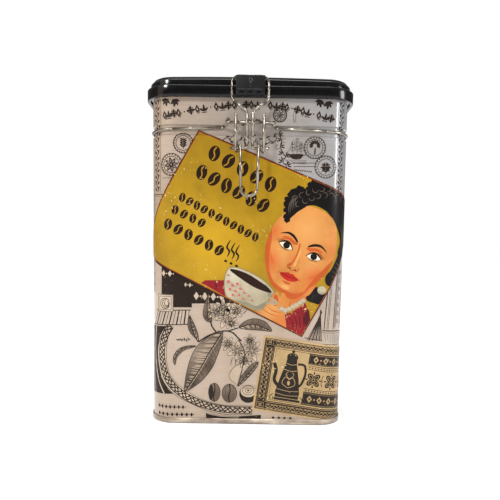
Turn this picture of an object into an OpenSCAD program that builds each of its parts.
// Rectangular coffee tin with a hinged press-on lid and a wire toggle clasp.
// Millimetres. Front faces -Y, up is +Z, the origin is the middle of the base, on the floor.

/* [Tin body] */
// Width of the body over its flat sides
body_w = 108; // [80:0.5:150]
// Depth of the body, front to back
body_d = 78; // [60:0.5:120]
// Outside radius of the upright corners
corner_r = 13; // [8:0.5:20]
// Height from the floor to the crown of the lid
total_h = 190; // [130:1:240]
// Thickness of the tinplate
sheet_t = 0.3; // [0.2:0.05:0.6]

/* [Base seam] */
// Height of the double seam
seam_h = 2.8; // [2:0.1:4]
// How far the seam stands out from the body
seam_out = 0.75; // [0.5:0.05:1.2]
// Height of the base panel over the floor
panel_up = 4; // [3:0.5:8]
// Play between the body wall and the seam's slot
seam_fit = 0.02; // [0.01:0.01:0.1]
// Thickness of the sealing compound in the seam
compound_t = 0.3; // [0.1:0.05:0.5]

/* [Band groove] */
// Middle of the groove below the lid's lower edge
groove_down = 16.6; // [12:0.1:24]
// Height of the groove over its shoulders
groove_h = 5.8; // [4.5:0.1:9]
// Height of each sloping shoulder
groove_slope = 0.6; // [0.3:0.1:1]

/* [Mouth] */
// Height of the rim over the lid's lower edge
rim_up = 2.8; // [2:0.1:4]
// How far the rim's curl stands out from the body
curl_out = 0.9; // [0.5:0.05:1.2]
// Height of the curl
curl_h = 1.8; // [1.2:0.1:2.2]

/* [Lid] */
// Height of the lid from its lower edge to its crown
lid_h = 11.5; // [9:0.1:16]
// How far the skirt stands out from the body
lid_out = 3.05; // [2.6:0.05:5]
// Height of the skirt, up to the ledge
skirt_h = 5.9; // [5.2:0.1:7]
// Step from the skirt in to the upper tier
tier_in = 1.9; // [1.2:0.1:2.2]
// Wall of the lid
lid_t = 1.6; // [1.2:0.1:1.9]
// Fall of the top from the crown to the edge
crown_h = 1.6; // [1:0.1:3]
// Bevel of the upper edge
edge_bevel = 1.5; // [0.5:0.1:2]
// Small bevel of the other edges
edge_soft = 0.3; // [0.1:0.1:0.5]
// Depth of the plug below the rim
plug_h = 6; // [4:0.5:9]
// Wall of the plug
plug_t = 1.5; // [1:0.1:2]
// Play between the plug and the inside of the body
plug_gap = 0.6; // [0.4:0.05:1]
// Play between the gasket and the rim with the lid shut
seal_gap = 0.05; // [0.02:0.01:0.2]

/* [Front catch] */
// Width of the catch block
catch_w = 15.1; // [12:0.1:20]
// Top of the catch below the lid's crown
catch_down = 1.3; // [0.8:0.1:2]
// Height of the lip in front of the clasp's bar
catch_lip = 0.85; // [0.4:0.05:1.2]
// Thickness of the plate in front of the bar
catch_wall = 1.3; // [1:0.1:2.5]
// Width of each small moulding slot
slot_w = 2.7; // [1.5:0.1:3.5]
// Height of the moulding slots
slot_h = 0.8; // [0.5:0.1:1.2]
// Distance between the middles of two slots
slot_pitch = 4.5; // [4:0.1:6]
// Middle of the slots over the lower edge
slot_up = 1.7; // [1.2:0.1:3]
// Depth of the slots
slot_deep = 1; // [0.5:0.1:1.2]

/* [Rear hinge] */
// Width of the hinge block
hinge_w = 18; // [12:0.5:30]
// Distance of the hinge line behind the body
hinge_out = 5.2; // [4.8:0.1:7]
// Hinge line over the lid's lower edge
hinge_up = 1.8; // [1.5:0.1:3]
// Plastic around the pin
hinge_wall = 2.2; // [1:0.1:2.5]
// Half of the distance between the bracket's uprights
bracket_x = 12.5; // [9:0.5:20]

/* [Wires] */
// Diameter of the spring wire
wire_d = 1.5; // [1.2:0.1:1.8]
// Play between a wire and the eye it turns in
wire_play = 0.08; // [0.03:0.01:0.1]
// Play between the band and the floor of its groove
seat_gap = 0.04; // [0.02:0.01:0.1]
// Band height over the groove's middle at the corners, downwards
band_low = 0.2; // [0:0.1:0.5]
// Band height over the groove's middle beside the clasp
band_high = 1.3; // [0:0.1:1.4]
// Half width of the straight pivot section
pivot_half = 12; // [11:0.1:16]
// Distance of the clasp pivot in front of the body
pivot_out = 5.5; // [5.2:0.1:8]
// Clasp pivot below the lid's lower edge
pivot_down = 13.6; // [11:0.1:18]

/* [Clasp] */
// Distance between the two pivots of the lever
throw_h = 13.3; // [10:0.1:18]
// Length of the handle below the lower pivot
handle_len = 25.6; // [15:0.1:35]
// Half width of the handle at the lower pivot
arm_x = 4.8; // [4:0.1:7]
// Half width of the handle at its end
arm_end_x = 4.3; // [3.5:0.1:6.5]
// Radius of the handle's end
handle_bend = 4; // [2.5:0.1:4.2]
// Height of the lever's eye over the pivot
eye_up = 4.8; // [3:0.1:6]
// Depth of the lever's eye below the pivot
eye_down = 4.9; // [3:0.1:6]
// Half width of the narrow neck of the bail
neck_x = 1.5; // [1.2:0.1:2.4]
// Length of the bail's ends beyond the lever
bail_end = 2.2; // [1:0.1:4]
// Play at the side of the catch
side_gap = 1.3; // [0.5:0.1:2.5]
// Gap between the bail's neck and the pivot section
neck_gap = 0.4; // [0.3:0.05:1]
// Gap between the bail and the skirt
skirt_gap = 0.6; // [0.3:0.05:1.5]
// Radius of the bail's two shoulders
shoulder_bend = 3.6; // [2:0.1:4]

/* [Hidden] */
$fn = 96;
eps = 0.01;
wire_fn = 20;
bend_fn = 32;
lap = 0.06;
lap_step = 0.006;

// heights
skirt_z = total_h - lid_h;
ledge_z = skirt_z + skirt_h;
ceiling_z = ledge_z - lid_t;
rim_z = skirt_z + rim_up;
groove_z = skirt_z - groove_down;
pivot_z = skirt_z - pivot_down;
lower_z = pivot_z - throw_h;
handle_z = lower_z - handle_len + wire_d / 2;
hinge_z = skirt_z + hinge_up;
wall_z = sheet_t + compound_t;

// places along Y
front_y = -body_d / 2;
rear_y = body_d / 2;
pivot_y = front_y - pivot_out;
hinge_y = rear_y + hinge_out;
skirt_y = front_y - lid_out;
tier_out = lid_out - tier_in;
bar_y = skirt_y - skirt_gap - wire_d / 2;
catch_y = bar_y - wire_d / 2 - wire_play - catch_wall;
neck_y = pivot_y - wire_d - neck_gap;

// wire sizes
wire_r = wire_d / 2;
eye_r = wire_d + wire_play;
groove_in = wire_r + seat_gap;
coil_step = 0.58 * wire_d;
strand_x = arm_x + 3 * coil_step;
bail_x = catch_w / 2 + side_gap + wire_r;
catch_top = total_h - catch_down;
bar_z = catch_top - catch_lip + wire_play + wire_r;

// a rounded rectangle standing out from the body by a given amount
module outline(out) {
  w = body_w + 2 * out;
  d = body_d + 2 * out;
  r = corner_r + out;
  square([w - 2 * r, d], center = true);
  square([w, d - 2 * r], center = true);
  for (x = [-1, 1], y = [-1, 1])
    translate([x * (w / 2 - r), y * (d / 2 - r)]) circle(r);
}

// a section of [distance out from the body, height] points, carried round the body
module round_body(section) {
  half_w = body_w / 2 - corner_r;
  half_d = body_d / 2 - corner_r;
  for (side = [0:3]) {
    across = side % 2 == 0;
    reach = across ? body_w / 2 : body_d / 2;
    run = across ? half_d : half_w;
    rotate([0, 0, 90 * side]) translate([reach, 0, 0])
      rotate([90, 0, 0]) linear_extrude(height = 2 * run, center = true) polygon(section);
    rotate([0, 0, 90 * side])
      translate([across ? half_w : half_d, across ? half_d : half_w, 0])
      rotate_extrude(angle = 90) translate([corner_r, 0]) polygon(section);
  }
}

function unit(v) = v / norm(v);
function turn_at(a, b, c) = acos(max(-1, min(1, unit(b - a) * unit(c - b))));
function trim_at(a, b, c, bend) = bend * tan(turn_at(a, b, c) / 2);
function frame_of(x, y, z, at) = [[x[0], y[0], z[0], at[0]], [x[1], y[1], z[1], at[1]],
  [x[2], y[2], z[2], at[2]], [0, 0, 0, 1]];
function mirrored(pts) = [for (i = [len(pts) - 1:-1:0]) [-pts[i][0], pts[i][1], pts[i][2]]];
function reversed(list) = [for (i = [len(list) - 1:-1:0]) list[i]];

// a straight length of wire from a to b; it laps a hair over the bends at its ends
module straight(a, b) {
  z = unit(b - a);
  x = abs(z[2]) > 0.9 ? unit(cross([0, 1, 0], z)) : unit(cross([0, 0, 1], z));
  multmatrix(frame_of(x, cross(z, x), z, a)) cylinder(r = wire_r, h = norm(b - a), $fn = wire_fn);
}

// the bend of a wire that comes from a, turns at b and leaves for c
module corner(a, b, c, bend) {
  along = unit(b - a);
  axis = unit(cross(along, unit(c - b)));
  side = cross(axis, along);
  centre = b - trim_at(a, b, c, bend) * along + bend * side;
  multmatrix(frame_of(-side, cross(axis, -side), axis, centre))
    rotate_extrude(angle = turn_at(a, b, c), $fn = bend_fn)
    translate([bend, 0]) circle(wire_r - lap_step, $fn = wire_fn);
}

// one length of wire through all points, with a bend radius at each; a closed one joins its ends
module wire(pts, bends, closed = false) {
  count = len(pts);
  first = closed ? 0 : 1;
  last = closed ? count - 1 : count - 2;
  for (i = [0:closed ? count - 1 : count - 2]) {
    a = pts[i];
    b = pts[(i + 1) % count];
    along = unit(b - a);
    before = closed || i > 0 ? trim_at(pts[(i + count - 1) % count], a, b, bends[i]) - lap : 0;
    after = closed || i < count - 2
      ? trim_at(a, b, pts[(i + 2) % count], bends[(i + 1) % count]) - lap : 0;
    straight(a + before * along, b - after * along);
  }
  for (i = [first:last])
    corner(pts[(i + count - 1) % count], pts[i], pts[(i + 1) % count], bends[i]);
}

module body_shell() {
  low = groove_z - groove_h / 2;
  high = groove_z + groove_h / 2;
  outside = [[0, wall_z], [0, low], [-groove_in, low + groove_slope], [-groove_in, high - groove_slope],
    [0, high], [0, rim_z - curl_h]];
  curl = [[curl_out - edge_soft, rim_z - curl_h], [curl_out, rim_z - curl_h + edge_soft],
    [curl_out, rim_z - edge_soft], [curl_out - edge_soft, rim_z]];
  inside = [[-sheet_t, rim_z], [-sheet_t, high], [-groove_in - sheet_t, high - groove_slope],
    [-groove_in - sheet_t, low + groove_slope], [-sheet_t, low], [-sheet_t, wall_z]];
  color([0.86, 0.82, 0.74]) round_body(concat(outside, curl, inside));
}

module base_panel() {
  slot_in = -sheet_t - seam_fit;
  wall_in = slot_in - sheet_t;
  seam = [[wall_in, 0], [seam_out - edge_soft, 0], [seam_out, edge_soft],
    [seam_out, seam_h - edge_soft], [seam_out - edge_soft, seam_h], [seam_fit, seam_h],
    [seam_fit, sheet_t], [slot_in, sheet_t], [slot_in, panel_up], [wall_in, panel_up]];
  color([0.75, 0.73, 0.68]) {
    round_body(seam);
    translate([0, 0, panel_up - sheet_t]) linear_extrude(height = sheet_t) outline(wall_in);
  }
}

module seam_compound() {
  color([0.55, 0.5, 0.42])
    round_body([[-sheet_t - seam_fit, sheet_t], [seam_fit, sheet_t], [seam_fit, wall_z],
      [-sheet_t - seam_fit, wall_z]]);
}

// the ring in the groove, with the clasp's pivot in front and the lid's hinge pin behind
module band_wire() {
  low_z = groove_z - band_low;
  high_z = groove_z + band_high;
  step_x = pivot_half + 2;
  side_x = body_w / 2;
  right = [[pivot_half, pivot_y, pivot_z], [step_x, front_y, high_z], [side_x, front_y, low_z],
    [side_x, rear_y, low_z], [bracket_x + 2, rear_y, low_z], [bracket_x, hinge_y, low_z + wire_d],
    [bracket_x, hinge_y, hinge_z]];
  bends = [2, 1.9, corner_r, corner_r, 1.9, 2, 2];
  color([0.72, 0.71, 0.68]) wire(concat(right, mirrored(right)), concat(bends, reversed(bends)), true);
}

module lid_cover() {
  plug_out = -sheet_t - plug_gap;
  plug_in = plug_out - plug_t;
  skirt_in = lid_out - lid_t;
  plug_z = rim_z - plug_h;
  crown_in = plug_in - 0.2;
  bevel_z = total_h - crown_h;
  below = [[plug_in, plug_z], [plug_out - edge_soft, plug_z], [plug_out, plug_z + edge_soft],
    [plug_out, ceiling_z], [skirt_in, ceiling_z], [skirt_in, skirt_z], [lid_out - edge_soft, skirt_z]];
  sides = [[lid_out, skirt_z + edge_soft], [lid_out, ledge_z - edge_soft],
    [lid_out - edge_soft, ledge_z], [tier_out, ledge_z], [tier_out, bevel_z - edge_bevel],
    [tier_out - 0.12 * edge_bevel, bevel_z - 0.5 * edge_bevel],
    [tier_out - 0.45 * edge_bevel, bevel_z - 0.2 * edge_bevel], [tier_out - edge_bevel, bevel_z]];
  crown = [[crown_in, total_h], [crown_in, total_h - lid_t], [plug_in, bevel_z - lid_t]];
  color([0.05, 0.05, 0.05]) {
    round_body(concat(below, sides, crown));
    translate([0, 0, total_h - lid_t]) linear_extrude(height = lid_t) outline(crown_in);
  }
}

module lid_gasket() {
  inner = -sheet_t - plug_gap;
  outer = lid_out - lid_t - 0.2;
  color([0.8, 0.8, 0.78])
    round_body([[inner, rim_z + seal_gap], [outer, rim_z + seal_gap], [outer, ceiling_z],
      [inner, ceiling_z]]);
}

// a clip-on block: the bail's bar lies in a groove behind its plate, deeper under the shoulders
module front_catch() {
  tier_y = front_y - tier_out;
  groove_w = wire_d + 2 * wire_play;
  floor_z = catch_top - catch_lip;
  inner_bend = shoulder_bend - wire_r;
  bend_from = bail_x - shoulder_bend;
  under = min(inner_bend, max(0, catch_w / 2 - bend_from));
  relief = inner_bend - sqrt(inner_bend * inner_bend - under * under) + eps;
  color([0.07, 0.07, 0.07]) difference() {
    translate([-catch_w / 2, catch_y, skirt_z]) cube([catch_w, tier_y - catch_y, catch_top - skirt_z]);
    translate([-catch_w, skirt_y, skirt_z - 1]) cube([2 * catch_w, 2 * lid_out, skirt_h + 1]);
    translate([-catch_w, bar_y - groove_w / 2, floor_z])
      cube([2 * catch_w, groove_w, 2 * catch_lip]);
    for (side = [-1, 1])
      translate([side * (bend_from + catch_w / 2), bar_y, floor_z - relief / 2])
        cube([catch_w, groove_w, relief + eps], center = true);
    for (i = [-1:1])
      translate([i * slot_pitch - slot_w / 2, catch_y - 1, skirt_z + slot_up - slot_h / 2])
        cube([slot_w, slot_deep + 1, slot_h]);
  }
}

module rear_hinge() {
  outer_y = hinge_y + wire_r + hinge_wall;
  top_z = hinge_z + wire_r + hinge_wall + 2;
  color([0.07, 0.07, 0.07]) difference() {
    translate([-hinge_w / 2, rear_y + tier_out, skirt_z])
      cube([hinge_w, outer_y - rear_y - tier_out, top_z - skirt_z]);
    translate([-hinge_w, rear_y + tier_out - 1, skirt_z - 1])
      cube([2 * hinge_w, tier_in + 1, skirt_h + 1]);
    translate([-hinge_w, hinge_y, hinge_z]) rotate([0, 90, 0])
      cylinder(r = wire_r + wire_play, h = 2 * hinge_w);
  }
}

// one wire: eyes on the pivot section, strands down to the coils round the bail, then the handle
module lever_wire() {
  front = pivot_y - eye_r;
  back = pivot_y + eye_r;
  eye_top = pivot_z + eye_up - wire_r;
  eye_low = pivot_z - eye_down + wire_r;
  coil_top = lower_z + eye_r;
  coil_low = lower_z - eye_r;
  x = strand_x;
  half = [[x, pivot_y - 0.3, eye_low], [x, back, eye_low], [x, back, eye_top], [x, front, eye_top],
    [x, front, coil_low], [x - coil_step, back, coil_low], [x - 2 * coil_step, back, coil_top],
    [arm_x, front, coil_top], [arm_end_x, front, handle_z]];
  bends = [0, eye_r, eye_r, eye_r, eye_r, eye_r, eye_r, eye_r, handle_bend];
  color([0.74, 0.73, 0.7]) wire(concat(half, mirrored(half)), concat(bends, reversed(bends)));
}

module bail_wire() {
  neck_low = pivot_z - 6.2;
  neck_top = pivot_z + 5.2;
  side_low = skirt_z - 1.5;
  half = [[strand_x + wire_r + bail_end, pivot_y, lower_z], [neck_x, pivot_y, lower_z],
    [neck_x, neck_y, neck_low], [neck_x, neck_y, neck_top], [bail_x, bar_y, side_low],
    [bail_x, bar_y, bar_z]];
  bends = [0, 1.2, 4, 3, 4, shoulder_bend];
  color([0.74, 0.73, 0.7]) wire(concat(half, mirrored(half)), concat(bends, reversed(bends)));
}

body_shell();
base_panel();
seam_compound();
band_wire();
lid_cover();
lid_gasket();
front_catch();
rear_hinge();
lever_wire();
bail_wire();
